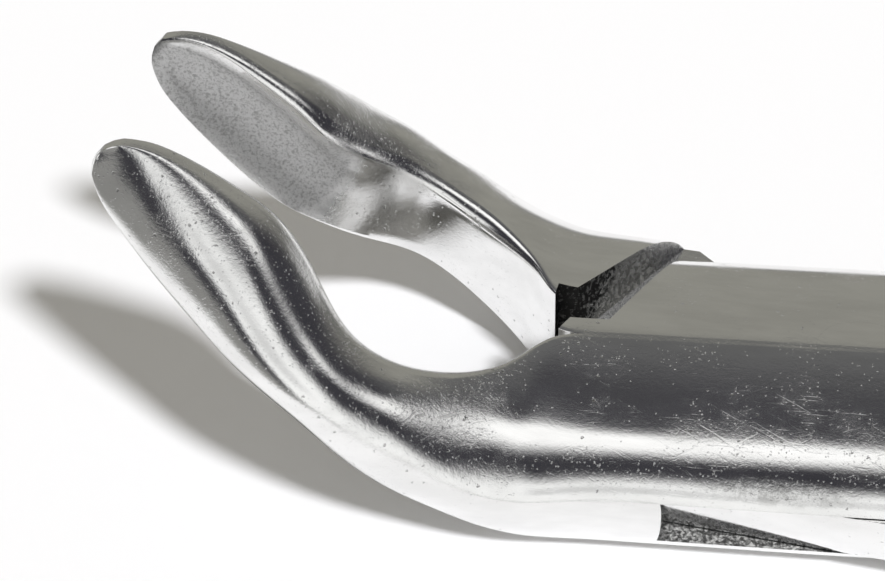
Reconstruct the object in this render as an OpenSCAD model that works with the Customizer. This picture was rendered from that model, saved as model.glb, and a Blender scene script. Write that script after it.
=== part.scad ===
// Dental extraction forceps with a box joint, lying on its side.
// The pin axis is vertical, the handles run toward +X and the beaks rise toward -X.
// Millimetres.

/* [Part] */
// Which piece to build

/* [Joint] */
// Width of the joint across both flanks
box_w = 19.7; // [17:0.1:22]
// Height of the joint at the ridge of its top
box_h = 7.75; // [7.2:0.05:9]
// Drop of the joint's top from the ridge to the flanks
crown = 0.75; // [0.3:0.05:1]
// Distance from the pin to the crotch between the beaks
crotch_x = 15.5; // [14.5:0.1:17]
// Distance from the pin to the shoulder where it meets the flank
flank_x = 10.4; // [9.5:0.1:11.5]
// Height of the slot through the box
slot_h = 2.95; // [2.4:0.05:3.3]
// Height of the slot's middle above the resting plane
slot_z = 3.4; // [3.2:0.05:3.7]
// Clearance above and below the tongue in its slot
tongue_gap = 0.06; // [0.04:0.01:0.12]
// Clearance in plan between the tongue's ends and the slot's walls
end_gap = 0.35; // [0.3:0.05:0.5]
// Slope of the tongue half's shoulder, top edge against foot
shoulder_slope = 1.0; // [0.6:0.1:1.4]
// Diameter of the joint pin
pin_d = 5.0; // [4:0.1:6]
// Radial clearance between the pin and the tongue's bore
pin_gap = 0.04; // [0.02:0.01:0.09]
// How far the halves are opened at rest, from the state with their flanks in line
rest_open = 8.5; // [4:0.5:12]

/* [Beaks] */
// Reach of the beaks from the crotch to the tip
beak_reach = 25.4; // [22:0.2:28]
// Height of the tip above the joint's middle
beak_rise = 17.2; // [14:0.2:20]
// Width of a spoon's face at its widest
spoon_w = 6.1; // [5:0.1:7]
// Gap between the two spoon faces with the flanks in line
spoon_gap = 3.5; // [3.2:0.1:4.5]
// Depth of the hollow in a spoon's face
hollow = 0.9; // [0.3:0.05:1.1]
// Widest clear gap between the two necks with the flanks in line
crown_gap = 10.6; // [9.5:0.1:11.5]

/* [Handles] */
// Length of the handles behind the pin
handle_len = 136; // [110:1:150]
// Width of a handle seen from above
handle_w = 9.2; // [8:0.1:11]
// Height of a handle
handle_h = 6.4; // [5.5:0.1:6.8]
// Widest clear gap between the handles with the flanks in line
handle_gap = 20.4; // [17:0.2:26]
// Number of cross grooves in each grip
grip_count = 14; // [6:1:20]
// Spacing of the cross grooves
grip_pitch = 3.4; // [2.6:0.1:4]
// Depth of the cross grooves
grip_depth = 0.5; // [0.3:0.05:0.7]

/* [Hidden] */
metal = [0.74, 0.75, 0.76];
box_a = box_w / 2;
mid_z = slot_z + 0.1;
table_reach = 25.4;
table_rise = 17.2;
spoon_k = spoon_w / 6.1;
bulge_k = (crown_gap / 2 - spoon_gap / 2) / (5.3 - 1.75);
hollow_k = hollow / 0.9;
foot_drop = mid_z;
grip_mid = handle_len * 0.66;
tongue_h = slot_h - 2 * tongue_gap;
close_relief = 1.6;
relief_reach = 1.7;
lip_w = 1.4;
lip_reach = 0.45;
turn_r = crotch_x * box_a / norm([crotch_x - flank_x, box_a]) - 0.2;
foot_back = 0.5;
plate_back = 1.0;

// Places of the beak rows, measured from the joint's middle.
function bx(x) = x > -15.2 ? x * crotch_x / 15.5 : -crotch_x + 0.3 + (x + 15.2) * beak_reach / table_reach;
function bz(z) = z > 4 ? 4 + (z - 4) * (beak_rise - 4) / (table_rise - 4) : z;
function by(y) = y < 1.75 ? y * spoon_gap / 3.5 : spoon_gap / 2 + (y - 1.75) * bulge_k;
function lean(t, n) = [-0.731 * t + 0.682 * n, 0.682 * t + 0.731 * n - 3.05];

// A row of the spoon: place along its axis, half width, inner face.
function spoon_row(t, h, yi, turn, eu, el, dm, fl, yo, d) =
  let (c = lean(t, -12.65), a = 47 + turn, k = h * spoon_k)
  [bx(c[0] + k * cos(a)), bz(c[1] + k * sin(a)), by(yi),
   bx(c[0] - k * cos(a)), bz(c[1] - k * sin(a)), by(yi),
   eu, el, dm, fl, yo + spoon_gap / 2 - 1.75, 2, d * hollow_k, 0];

// A row of the neck: upper and lower edge of its inner face.
function neck_row(ux, uz, uy, lx, lz, ly, eu, el, dm, fl, yo, p, d, c) =
  [bx(ux), bz(uz), by(uy), bx(lx), bz(lz), by(ly), eu, el, dm, fl, yo + (box_a - 9.75) * 0.6, p, d * hollow_k, c];

// A row of the joint: place, inner face, length of its flat edge, swelling of its flank.
function box_row(x, yi, f, swell) =
  [x * crotch_x / 15.5, box_h - mid_z, yi, x * crotch_x / 15.5, -foot_drop, yi, 0, 0, 0.3, f, box_a + swell, 2.4, 0, crown];

// A row of the handle: place, inner face, outer face, height, lift off the table, rounding.
function handle_row(x, yi, yo, h, lift, e) =
  [x, lift + h - e - mid_z, yi, x, lift + e - mid_z, yi, e, e, (yo - yi) * 0.24, (yo - yi) * 0.2, yo, 2.3, 0, 0.12];

hx = handle_len / 136;
hg = handle_gap / 2;

rows_beak = [
  spoon_row(42.9, 0.3, 1.95, 0, 0.1, 0.1, 0.5, 0.1, 2.15, 0),
  spoon_row(42.65, 0.85, 1.8, 0, 0.1, 0.1, 0.5, 0.15, 2.4, 0.02),
  spoon_row(42.05, 1.53, 1.75, 0, 0.12, 0.1, 0.55, 0.2, 2.75, 0.1),
  spoon_row(41.15, 2.1, 1.75, 0, 0.16, 0.12, 0.6, 0.25, 3.3, 0.35),
  spoon_row(39.9, 2.5, 1.75, 0, 0.24, 0.17, 0.65, 0.3, 4.05, 0.6),
  spoon_row(38.2, 2.78, 1.75, 0, 0.35, 0.25, 0.7, 0.4, 5.1, 0.8),
  spoon_row(36.15, 2.94, 1.75, 1, 0.45, 0.38, 0.8, 0.5, 6.25, 0.9),
  spoon_row(34.1, 3.04, 1.75, 5, 0.52, 0.42, 0.9, 0.6, 7.3, 0.9),
  neck_row(-30.8, 12.2, 1.8, -34.1, 7.3, 1.75, 0.55, 0.4, 1.0, 0.7, 8.2, 2, 0.85, 0),
  neck_row(-29.75, 10.85, 2.35, -32.9, 6.6, 1.75, 0.5, 0.38, 1.0, 0.7, 8.95, 2, 0.55, 0),
  neck_row(-28.9, 9.6, 3.3, -31.4, 6.0, 1.85, 0.45, 0.45, 1.0, 0.7, 9.55, 2.05, 0.15, 0),
  neck_row(-27.9, 8.5, 4.5, -29.65, 5.05, 2.35, 0.45, 0.6, 1.0, 0.6, 10.0, 2.1, 0, 0),
  neck_row(-26.7, 7.35, 5.2, -28.1, 3.6, 3.9, 0.5, 0.75, 0.9, 0.5, 10.25, 2.1, 0, 0),
  neck_row(-25.2, 6.2, 5.3, -26.5, 2.3, 5.05, 0.6, 0.85, 0.9, 0.4, 10.4, 2.1, 0, 0),
  neck_row(-23.5, 5.25, 4.95, -24.7, 1.0, 5.25, 0.7, 0.95, 0.9, 0.5, 10.45, 2.15, 0, 0),
  neck_row(-21.7, 4.55, 4.3, -22.55, -0.3, 4.6, 0.75, 0.9, 0.9, 1.0, 10.45, 2.15, 0, 0.1),
  neck_row(-20.0, 4.15, 3.4, -20.5, -1.75, 3.7, 0.6, 0.6, 0.7, 2.1, 10.4, 2.2, 0, 0.35),
  neck_row(-18.3, 4.1, 1.95, -18.5, -2.8, 2.1, 0.35, 0.3, 0.5, 3.6, 10.25, 2.25, 0, 0.6)
];

rows_joint = [
  box_row(-16.8, 0.15, 5.3, 0.22),
  box_row(-15.6, -0.05, 5.7, 0.1),
  box_row(-13.5, -0.05, 5.9, 0),
  box_row(-8, -0.05, 5.9, 0),
  box_row(0, -0.05, 5.9, 0),
  box_row(8, -0.05, 5.9, 0),
  box_row(13.5, -0.05, 5.9, 0),
  box_row(15.6, -0.05, 5.7, 0)
];

rows_handle = [
  handle_row(19 * hx, 1.9, box_a + 0.35, box_h - 0.25, 0, 0.3),
  handle_row(24 * hx, 3.1, box_a + 1.3, box_h - 0.8, 0, 0.7),
  handle_row(33 * hx, hg - 4.4, hg - 4.4 + handle_w - 0.5, handle_h + 0.15, 0, 1.0),
  handle_row(47 * hx, hg - 1.5, hg - 1.5 + handle_w - 0.2, handle_h, 0, 1.1),
  handle_row(66 * hx, hg, hg + handle_w, handle_h, 0, 1.1),
  handle_row(88 * hx, hg, hg + handle_w, handle_h, 0, 1.1),
  handle_row(108 * hx, hg - 1.3, hg - 1.3 + handle_w, handle_h, 0, 1.1),
  handle_row(123 * hx, hg - 3.2, hg - 3.2 + handle_w, handle_h - 0.05, 0.06, 1.1),
  handle_row(131 * hx, hg - 4.0, hg - 4.0 + handle_w - 0.3, handle_h - 0.25, 0.18, 1.1),
  handle_row(134.6 * hx, hg - 3.7, hg - 3.7 + handle_w - 1.2, handle_h - 1.2, 0.6, 1.2),
  handle_row(136 * hx, hg - 2.4, hg - 2.4 + handle_w - 4.2, handle_h - 3.4, 1.7, 0.8)
];

rows = concat(rows_beak, rows_joint, rows_handle);
last = len(rows) - 1;
mids = [for (r = rows) [(r[0] + r[3]) / 2, (r[2] + r[5]) / 2, (r[1] + r[4]) / 2]];
steps = [for (i = [0 : last - 1]) norm(mids[i + 1] - mids[i])];
slopes = [for (i = [0 : last])
  i == 0 ? (rows[1] - rows[0]) / steps[0] :
  i == last ? (rows[last] - rows[last - 1]) / steps[last - 1] :
  ((rows[i] - rows[i - 1]) / steps[i - 1] * steps[i] + (rows[i + 1] - rows[i]) / steps[i] * steps[i - 1])
    / (steps[i] + steps[i - 1])];

function between(i, t) =
  (2 * t * t * t - 3 * t * t + 1) * rows[i] + (t * t * t - 2 * t * t + t) * steps[i] * slopes[i]
  + (3 * t * t - 2 * t * t * t) * rows[i + 1] + (t * t * t - t * t) * steps[i] * slopes[i + 1];

beak_last = len(rows_beak);
joint_last = beak_last + len(rows_joint) - 1;
function cuts(i) = i < beak_last ? 3 : i < joint_last ? 1 : 3;
fine_rows = concat([for (i = [0 : last - 1]) for (k = [0 : cuts(i) - 1]) between(i, k / cuts(i))], [rows[last]]);

edge_n = 3;
arc_n = 14;
face_n = 6;
function power(v, e) = v <= 0 ? 0 : pow(v, e);
function way(v) = v < 0 ? -1 : 1;

// Points of one ring as [along the face, across, share of the twist].
function ring_plan(r) =
  let (hi = norm([r[0] - r[3], r[1] - r[4]]) / 2, my = (r[2] + r[5]) / 2, eu = r[6], el = r[7], ym = my + r[8],
       yf = ym + r[9], yo = r[10], p = r[11], d = max(0, r[12]), c = max(0, r[13]),
       rim = d > 0.01 ? 0.7 * min(1, hi / 2) : 0.3)
  concat(
    [for (k = [0 : edge_n]) let (a = 90 * k / edge_n) [hi + eu * sin(a), my + r[8] * (1 - cos(a)), 1]],
    [[hi + eu - 0.42 * c, ym + 0.5 * (yf - ym), 1]],
    [for (k = [0 : arc_n]) let (a = 180 * k / arc_n, h = cos(a) > 0 ? hi + eu - c : hi + el)
      [h * way(cos(a)) * power(abs(cos(a)), 2 / p), yf + (yo - yf) * power(sin(a), 2 / p),
       1 - power(sin(a), 1.2)]],
    [for (k = [edge_n : -1 : 0]) let (a = 90 * k / edge_n) [-hi - el * sin(a), my + r[8] * (1 - cos(a)), 1]],
    [for (k = [1 : face_n - 1]) let (u = -1 + 2 * k / face_n)
      [u * (hi - rim), my + d * sqrt(max(0, 1 - u * u)), 1]]
  );

function ring(r) =
  let (w = norm([r[0] - r[3], r[1] - r[4]]), dir = [(r[0] - r[3]) / w, (r[1] - r[4]) / w],
       mx = (r[0] + r[3]) / 2, mz = (r[1] + r[4]) / 2, tw = (r[2] - r[5]) / 2)
  [for (q = ring_plan(r)) [mx + q[0] * dir[0], q[1] + tw * q[2] * max(-1, min(1, 2 * q[0] / w)),
    mz + q[0] * dir[1] + mid_z]];

ring_n = (edge_n + 1) * 2 + 1 + arc_n + 1 + face_n - 1;

function middle(pts) = [for (k = [0 : 2]) ([for (p = pts) 1] * [for (p = pts) p[k]]) / len(pts)];

// One side of the forceps from the tip of its beak to the end of its handle, at +Y.
module side_loft(from, to) {
  used = [for (i = [from : to]) ring(fine_rows[i])];
  n = ring_n;
  m = len(used);
  points = concat([for (r = used) each r], [middle(used[0]), middle(used[m - 1])]);
  walls = [for (i = [0 : m - 2]) for (j = [0 : n - 1])
    let (a = i * n + j, b = i * n + (j + 1) % n, c = (i + 1) * n + (j + 1) % n, e = (i + 1) * n + j)
    each [[a, b, c], [a, c, e]]];
  ends = [for (j = [0 : n - 1]) each [[m * n, (j + 1) % n, j],
    [m * n + 1, (m - 1) * n + j, (m - 1) * n + (j + 1) % n]]];
  polyhedron(points = points, faces = concat(walls, ends), convexity = 8);
}

fine_last = len(fine_rows) - 1;
beak_count = beak_last * 3;
joint_count = beak_count + len(rows_joint) - 1;
pin_count = beak_count + 4;

// The beak's half of one side, up to the pin.
module beak_side() {
  side_loft(0, pin_count);
}

// The handle's half of one side, from the pin.
module handle_side() {
  side_loft(pin_count, fine_last);
}

// Only the joint's length of one side.
module joint_side() {
  side_loft(beak_count, joint_count);
}

// Plan outlines. The front shoulder runs from the crotch to the far flank.
lean_x = (crotch_x - flank_x) / box_a;
function shoulder_x(y) = -crotch_x + lean_x * y;

module front_of_shoulder(back) {
  polygon([[shoulder_x(-3) - back, -3], [shoulder_x(60) - back, 60], [-200, 60], [-200, -3]]);
}

// What is cut from the end of a box plate. A narrow lip beside the other plate is left longer.
module plate_end() {
  lip_x = -crotch_x - lip_reach;
  polygon([[-200, -3], [lip_x - 0.75, -3], [lip_x - 0.75, -0.05], [lip_x, lip_w],
    [shoulder_x(lip_w) + plate_back, lip_w], [shoulder_x(60) + plate_back, 60], [-200, 60]]);
}

// The tongue turns inside the slot's walls, so its free corners lie on a circle about the pin.
module tongue_plan() {
  intersection() {
    slot_plan(end_gap);
    union() {
      circle(r = turn_r, $fn = 96);
      translate([-100, close_relief + 0.15]) square([100, 60]);
      half_turn() translate([-100, close_relief + 0.15]) square([100, 60]);
    }
  }
}

module slot_plan(inset) {
  polygon([[-crotch_x + inset + lean_x * 40 * -1, 40], [-crotch_x + inset + lean_x * 40, -40],
    [crotch_x - inset + lean_x * 40, -40], [crotch_x - inset - lean_x * 40, 40]]);
}

module slab(z, h) {
  translate([0, 0, z]) linear_extrude(height = h, convexity = 4) children();
}

module half_turn() {
  rotate([0, 0, 180]) children();
}

module mirror_y() {
  mirror([0, 1, 0]) children();
}

// Grooves across the outer face of a grip, cut into the handle at +Y.
function handle_out(x) = lookup(x, [for (r = rows_handle) [r[0], r[10]]]);

module grip_grooves() {
  for (i = [0 : grip_count - 1]) {
    x = grip_mid + (i - (grip_count - 1) / 2) * grip_pitch;
    translate([x, handle_out(x) + 0.02, -1])
      linear_extrude(height = box_h + 2)
        polygon([[-0.75, 0.35], [0, -grip_depth], [0.75, 0.35]]);
  }
}

module box_solid() {
  difference() {
    union() {
      mirror_y() beak_side();
      handle_side();
      difference() {
        joint_side();
        slab(-1, box_h + 2) plate_end();
      }
      difference() {
        mirror_y() joint_side();
        slab(-1, box_h + 2) half_turn() plate_end();
      }
    }
    slab(slot_z - slot_h / 2, slot_h) slot_plan(0);
    grip_grooves();
    translate([0, 0, -1]) cylinder(d = pin_d, h = box_h + 2, $fn = 64);
  }
}

// The tongue half's full-height end, with a wall that slopes away from the box's plates.
module neck_keep() {
  difference() {
    union() {
      hull() {
        slab(slot_z - 0.1, 0.2) front_of_shoulder(foot_back);
        slab(box_h + 0.1, 0.2) front_of_shoulder(foot_back + shoulder_slope);
        slab(-0.3, 0.2) front_of_shoulder(foot_back + shoulder_slope);
      }
      slab(box_h, 40) front_of_shoulder(foot_back + shoulder_slope);
    }
    // Relief beside the crotch, so that the beaks can close.
    translate([-crotch_x - relief_reach, -3, -1]) cube([11.6, 3 + close_relief, box_h + 4]);
  }
}

module tongue_solid() {
  difference() {
    union() {
      intersection() {
        beak_side();
        neck_keep();
      }
      intersection() {
        mirror_y() handle_side();
        half_turn() neck_keep();
      }
      intersection() {
        union() {
          joint_side();
          mirror_y() joint_side();
        }
        slab(slot_z - tongue_h / 2, tongue_h) tongue_plan();
      }
    }
    mirror_y() grip_grooves();
    translate([0, 0, -1]) cylinder(r = pin_d / 2 + pin_gap, h = box_h + 2, $fn = 64);
  }
}

module box_half() {
  color(metal) rotate([0, 0, rest_open / 2]) box_solid();
}

module tongue_half() {
  color(metal) rotate([0, 0, -rest_open / 2]) tongue_solid();
}

module joint_pin() {
  color(metal) cylinder(d = pin_d, h = box_h, $fn = 64);
}

box_half();
tongue_half();
joint_pin();
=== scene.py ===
"""Dental extraction forceps with a box joint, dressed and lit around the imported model.

Run as a script. Each piece is made by one operator, and main() calls them in order.
"""
import math

import bmesh
import bpy
import numpy as np
from mathutils import Matrix, Vector


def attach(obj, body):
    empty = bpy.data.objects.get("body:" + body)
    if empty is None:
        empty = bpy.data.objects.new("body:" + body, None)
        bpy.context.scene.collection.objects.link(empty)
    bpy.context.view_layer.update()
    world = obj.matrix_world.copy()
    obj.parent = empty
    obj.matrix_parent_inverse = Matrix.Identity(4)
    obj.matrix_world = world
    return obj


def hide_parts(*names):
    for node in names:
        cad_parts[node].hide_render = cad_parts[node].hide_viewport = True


bl_info = {
    "name": "Box joint forceps",
    "version": (1, 0, 0),
    "blender": (4, 5, 0),
    "location": "View3D > Sidebar > Forceps",
    "description": "Makes the halves, the pin and the studio of a pair of dental extraction forceps",
    "category": "Object",
}

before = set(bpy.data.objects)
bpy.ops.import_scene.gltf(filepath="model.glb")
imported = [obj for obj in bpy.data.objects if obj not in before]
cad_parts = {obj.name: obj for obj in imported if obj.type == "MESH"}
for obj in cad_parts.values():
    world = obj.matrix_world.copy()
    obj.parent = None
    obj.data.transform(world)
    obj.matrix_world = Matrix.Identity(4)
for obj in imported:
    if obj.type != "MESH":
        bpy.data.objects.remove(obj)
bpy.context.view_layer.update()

MM = 0.001

# The joint, in millimetres. The halves are modelled parallel and turned open about the pin at the end.
REST_OPEN = math.radians(4.25)
BOX_HALF_W = 9.85
BOX_H = 7.75
MID_Z = 3.5
CROTCH_X = 15.5
FLANK_X = 10.4
LEAN_X = (CROTCH_X - FLANK_X) / BOX_HALF_W
SLOT_H = 2.95
SLOT_Z = 3.4
TONGUE_GAP = 0.06
END_GAP = 0.35
PIN_GAP = 0.04
PIN_INSET = 0.004
TURN_GAP = 0.2
TURN_R = CROTCH_X * BOX_HALF_W / math.hypot(CROTCH_X - FLANK_X, BOX_HALF_W) - TURN_GAP
LIP_REACH = 0.45
LIP_W = 1.4
LIP_TAPER = 0.75
LIP_PAST = 0.05
PLATE_BACK = 1.0
RELIEF_W = 1.6
RELIEF_REACH = 1.7
RELIEF_SPARE = 0.15
SHOULDER_FOOT = 0.5
SHOULDER_HEAD = 1.5
# Heights at which the shoulder's slope starts, meets its foot, leaves it and ends.
SHOULDER_Z = (-0.1, 3.3, 3.5, 7.95)
SHOULDER_RISE = 4.5
# What the tongue's side loses, so that it ends flush with the box's flank.
FLUSH_SIDE = ((-10.6, 9.9), (-9.0, 8.62), (2, 10.28), (2, 15), (-10.6, 15))

# How far the cutters reach past what they cut, in millimetres.
CUT_LOW = -1
CUT_HIGH = 9
CUT_TOP = 40
CUT_AHEAD = 200
CUT_INWARD = 3
CUT_BESIDE = 60
CUT_SLOT = 40
CUT_BLOCK = 100
WEDGE_LOW = -5
WEDGE_TOP = 50
WEDGE_BACK = 80
ROUND_SIDES = 128

# The grips' cross grooves, in millimetres.
HANDLE_END = 136
GRIP_MID = HANDLE_END * 0.66
GROOVE_HALF_W = 0.75
GROOVE_OUT = 0.35
GROOVE_LIFT = 0.02
GROOVE_TALL = 10

# Rows at which the joint starts and ends, the last row, and the rows by which the parts of a half overlap.
JOINT_START = 18
JOINT_END = 25
LAST_ROW = 36
LAP_ROWS = 3

# A spoon's rows are placed along an axis that rises forward, and turned about it by degrees.
AXIS_X = 0.731
AXIS_Z = 0.682
SPOON_ACROSS = -12.65
SPOON_DROP = 3.05
SPOON_TILT = 47
# Fullness of the outer curve, where 2 is an ellipse, and the other shares and sizes that rows have in common.
SPOON_FULL = 2
JOINT_EDGE = 0.3
JOINT_FULL = 2.4
JOINT_CROWN = 0.75
HANDLE_EDGE = 0.24
HANDLE_FLAT = 0.2
HANDLE_FULL = 2.3
HANDLE_CROWN = 0.12

# Place along the spoon, half width, inner face, turn, rounding of the upper and the lower edge, depth of the
# rounded edge, flat before the outer curve, outer face, hollow.
SPOON_ROWS = (
    (42.9, 0.3, 1.95, 0, 0.1, 0.1, 0.5, 0.1, 2.15, 0),
    (42.65, 0.85, 1.8, 0, 0.1, 0.1, 0.5, 0.15, 2.4, 0.02),
    (42.05, 1.53, 1.75, 0, 0.12, 0.1, 0.55, 0.2, 2.75, 0.1),
    (41.15, 2.1, 1.75, 0, 0.16, 0.12, 0.6, 0.25, 3.3, 0.35),
    (39.9, 2.5, 1.75, 0, 0.24, 0.17, 0.65, 0.3, 4.05, 0.6),
    (38.2, 2.78, 1.75, 0, 0.35, 0.25, 0.7, 0.4, 5.1, 0.8),
    (36.15, 2.94, 1.75, 1, 0.45, 0.38, 0.8, 0.5, 6.25, 0.9),
    (34.1, 3.04, 1.75, 5, 0.52, 0.42, 0.9, 0.6, 7.3, 0.9),
)
# Upper edge of the inner face x z y, its lower edge x z y, rounding of the upper and the lower edge, depth of
# the rounded edge, flat before the outer curve, outer face, fullness, hollow, crown.
NECK_ROWS = (
    (-30.8, 12.2, 1.8, -34.1, 7.3, 1.75, 0.55, 0.4, 1.0, 0.7, 8.26, 2, 0.85, 0),
    (-29.75, 10.85, 2.35, -32.9, 6.6, 1.75, 0.5, 0.38, 1.0, 0.7, 9.01, 2, 0.55, 0),
    (-28.9, 9.6, 3.3, -31.4, 6.0, 1.85, 0.45, 0.45, 1.0, 0.7, 9.61, 2.05, 0.15, 0),
    (-27.9, 8.5, 4.5, -29.65, 5.05, 2.35, 0.45, 0.6, 1.0, 0.6, 10.06, 2.1, 0, 0),
    (-26.7, 7.35, 5.2, -28.1, 3.6, 3.9, 0.5, 0.75, 0.9, 0.5, 10.31, 2.1, 0, 0),
    (-25.2, 6.2, 5.3, -26.5, 2.3, 5.05, 0.6, 0.85, 0.9, 0.4, 10.46, 2.1, 0, 0),
    (-23.5, 5.25, 4.95, -24.7, 1.0, 5.25, 0.7, 0.95, 0.9, 0.5, 10.51, 2.15, 0, 0),
    (-21.7, 4.55, 4.3, -22.55, -0.3, 4.6, 0.75, 0.9, 0.9, 1.0, 10.51, 2.15, 0, 0.1),
    (-20.0, 4.15, 3.4, -20.5, -1.75, 3.7, 0.6, 0.6, 0.7, 2.1, 10.46, 2.2, 0, 0.35),
    (-18.3, 4.1, 1.95, -18.5, -2.8, 2.1, 0.35, 0.3, 0.5, 3.6, 10.31, 2.25, 0, 0.6),
)
# Place, inner face, flat, swelling of the flank.
JOINT_ROWS = (
    (-16.8, 0.15, 5.3, 0.22),
    (-15.6, -0.05, 5.7, 0.1),
    (-13.5, -0.05, 5.9, 0),
    (-8, -0.05, 5.9, 0),
    (0, -0.05, 5.9, 0),
    (8, -0.05, 5.9, 0),
    (13.5, -0.05, 5.9, 0),
    (15.6, -0.05, 5.7, 0),
)
# Place, inner face, outer face, height, lift off the table, rounding.
HANDLE_ROWS = (
    (19, 1.9, 10.2, 7.5, 0, 0.3),
    (24, 3.1, 11.15, 6.95, 0, 0.7),
    (33, 5.8, 14.5, 6.55, 0, 1.0),
    (47, 8.7, 17.7, 6.4, 0, 1.1),
    (66, 10.2, 19.4, 6.4, 0, 1.1),
    (88, 10.2, 19.4, 6.4, 0, 1.1),
    (108, 8.9, 18.1, 6.4, 0, 1.1),
    (123, 7.0, 16.2, 6.35, 0.06, 1.1),
    (131, 6.2, 15.1, 6.15, 0.18, 1.1),
    (134.6, 6.5, 14.5, 5.2, 0.6, 1.2),
    (136, 7.8, 12.8, 3.0, 1.7, 0.8),
)


def spoon_row(place, half, inner, turn, upper, lower, depth, flat, outer, hollow):
    """The section that a row of SPOON_ROWS stands for."""
    x = -AXIS_X * place + AXIS_Z * SPOON_ACROSS
    z = AXIS_Z * place + AXIS_X * SPOON_ACROSS - SPOON_DROP
    angle = math.radians(SPOON_TILT + turn)
    dx = half * math.cos(angle)
    dz = half * math.sin(angle)
    return (x + dx, z + dz, inner, x - dx, z - dz, inner, upper, lower, depth, flat, outer,
            SPOON_FULL, hollow, 0)


def joint_row(x, inner, flat, swell):
    """The section that a row of JOINT_ROWS stands for."""
    outer = BOX_HALF_W + swell
    return (x, BOX_H - MID_Z, inner, x, -MID_Z, inner, 0, 0, JOINT_EDGE, flat, outer,
            JOINT_FULL, 0, JOINT_CROWN)


def handle_row(x, inner, outer, height, lift, rounding):
    """The section that a row of HANDLE_ROWS stands for."""
    low = lift + rounding - MID_Z
    high = lift + height - rounding - MID_Z
    depth = (outer - inner) * HANDLE_EDGE
    flat = (outer - inner) * HANDLE_FLAT
    return (x, high, inner, x, low, inner, rounding, rounding, depth, flat, outer,
            HANDLE_FULL, 0, HANDLE_CROWN)


def all_rows():
    """The sections from the tip of a spoon to the end of a handle."""
    rows = [spoon_row(*r) for r in SPOON_ROWS]
    rows += list(NECK_ROWS)
    rows += [joint_row(*r) for r in JOINT_ROWS]
    rows += [handle_row(*r) for r in HANDLE_ROWS]
    return np.array(rows, float)


def smooth_curve(knots, values):
    """A curve through all the rows with no jump in its bend, as a function of the distance along them."""
    count = len(knots)
    gaps = np.diff(knots)
    left = np.zeros((count, count))
    right = np.zeros((count, values.shape[1]))
    left[0, 0] = left[-1, -1] = 1
    for i in range(1, count - 1):
        left[i, i - 1:i + 2] = (gaps[i - 1], 2 * (gaps[i - 1] + gaps[i]), gaps[i])
        right[i] = 6 * ((values[i + 1] - values[i]) / gaps[i] - (values[i] - values[i - 1]) / gaps[i - 1])
    bend = np.linalg.solve(left, right)

    def at(place):
        i = int(min(max(np.searchsorted(knots, place) - 1, 0), count - 2))
        t = (place - knots[i]) / gaps[i]
        u = 1 - t
        return (u * values[i] + t * values[i + 1]
                + gaps[i] ** 2 / 6 * ((u ** 3 - u) * bend[i] + (t ** 3 - t) * bend[i + 1]))
    return at


# Points round a section: on a rounded edge, on a crowned flat, on the outer curve and on the inner face.
EDGE_N = 6
CROWN_N = 10
ARC_N = 48
FACE_N = 28
# Width of the rim round a hollow and round a plain face, in millimetres.
RIM_W = 0.7
PLAIN_RIM_W = 0.3
LEAST_HOLLOW = 0.01
LEAST_FLAT = 0.02
CROWN_POWER = 1.25
TWIST_POWER = 1.2


def section(row):
    """Points round one row in millimetres, at +Y, from the upper inner edge over the outside and back."""
    ux, uz, uy, lx, lz, ly, upper, lower, depth, flat, outer, full, hollow, crown = row
    width = math.hypot(ux - lx, uz - lz)
    half = width / 2
    dx, dz = (ux - lx) / width, (uz - lz) / width
    mid_x, mid_z, mid_y = (ux + lx) / 2, (uz + lz) / 2, (uy + ly) / 2
    twist = (uy - ly) / 2
    hollow, crown = max(0, hollow), max(0, crown)
    upper, lower, flat = max(upper, 0), max(lower, 0), max(flat, LEAST_FLAT)
    edge_y = mid_y + depth
    curve_y = edge_y + flat
    rim = RIM_W * min(1, half / 2) if hollow > LEAST_HOLLOW else PLAIN_RIM_W

    def drop(y):
        return crown * max(0, (y - edge_y) / flat) ** CROWN_POWER

    # Each point is its place across the face, its place outward and its share of the face's twist.
    points = []
    for k in range(EDGE_N + 1):
        a = math.pi / 2 * k / EDGE_N
        points.append((half + upper * math.sin(a), mid_y + depth * (1 - math.cos(a)), 1))
    for k in range(1, CROWN_N):
        y = edge_y + flat * k / CROWN_N
        points.append((half + upper - drop(y), y, 1))
    for k in range(ARC_N + 1):
        a = math.pi * k / ARC_N
        c, s = math.cos(a), max(0, math.sin(a))
        y = curve_y + (outer - curve_y) * s ** (2 / full)
        reach = abs(c) ** (2 / full)
        across = (half + upper - drop(y)) * reach if c > 0 else -(half + lower) * reach
        points.append((across, y, 1 - s ** TWIST_POWER))
    for k in range(1, CROWN_N):
        points.append((-half - lower, curve_y - flat * k / CROWN_N, 1))
    for k in range(EDGE_N, -1, -1):
        a = math.pi / 2 * k / EDGE_N
        points.append((-half - lower * math.sin(a), mid_y + depth * (1 - math.cos(a)), 1))
    for k in range(1, FACE_N):
        u = -1 + 2 * k / FACE_N
        points.append((u * (half - rim), mid_y + hollow * math.sqrt(1 - u * u), 1))

    placed = []
    for across, y, share in points:
        y += twist * share * max(-1, min(1, across / half))
        placed.append(Vector((mid_x + across * dx, y, max(0, mid_z + across * dz + MID_Z))))
    return placed


# Bends are spread over a few millimetres, by a weighted mean of the curve at places to both sides.
EASE_MM = 1.4
EASE_PLACES = (-1.5, -1, -0.5, 0, 0.5, 1, 1.5)
EASE_WEIGHTS = (0.05, 0.12, 0.2, 0.26, 0.2, 0.12, 0.05)
EASE_LEAST = 0.05
# Where that starts behind the tip and where it ends behind the joint's first row, each with its fade.
EASE_START = (2, 4)
EASE_STOP = (4.5, 3)
# Reach of the domes that close the ends, and the angles of their rings.
TIP_ROUND = 0.06
END_ROUND = 0.3
DOME_ANGLES = (2, 15, 30, 45, 60, 75)
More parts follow.
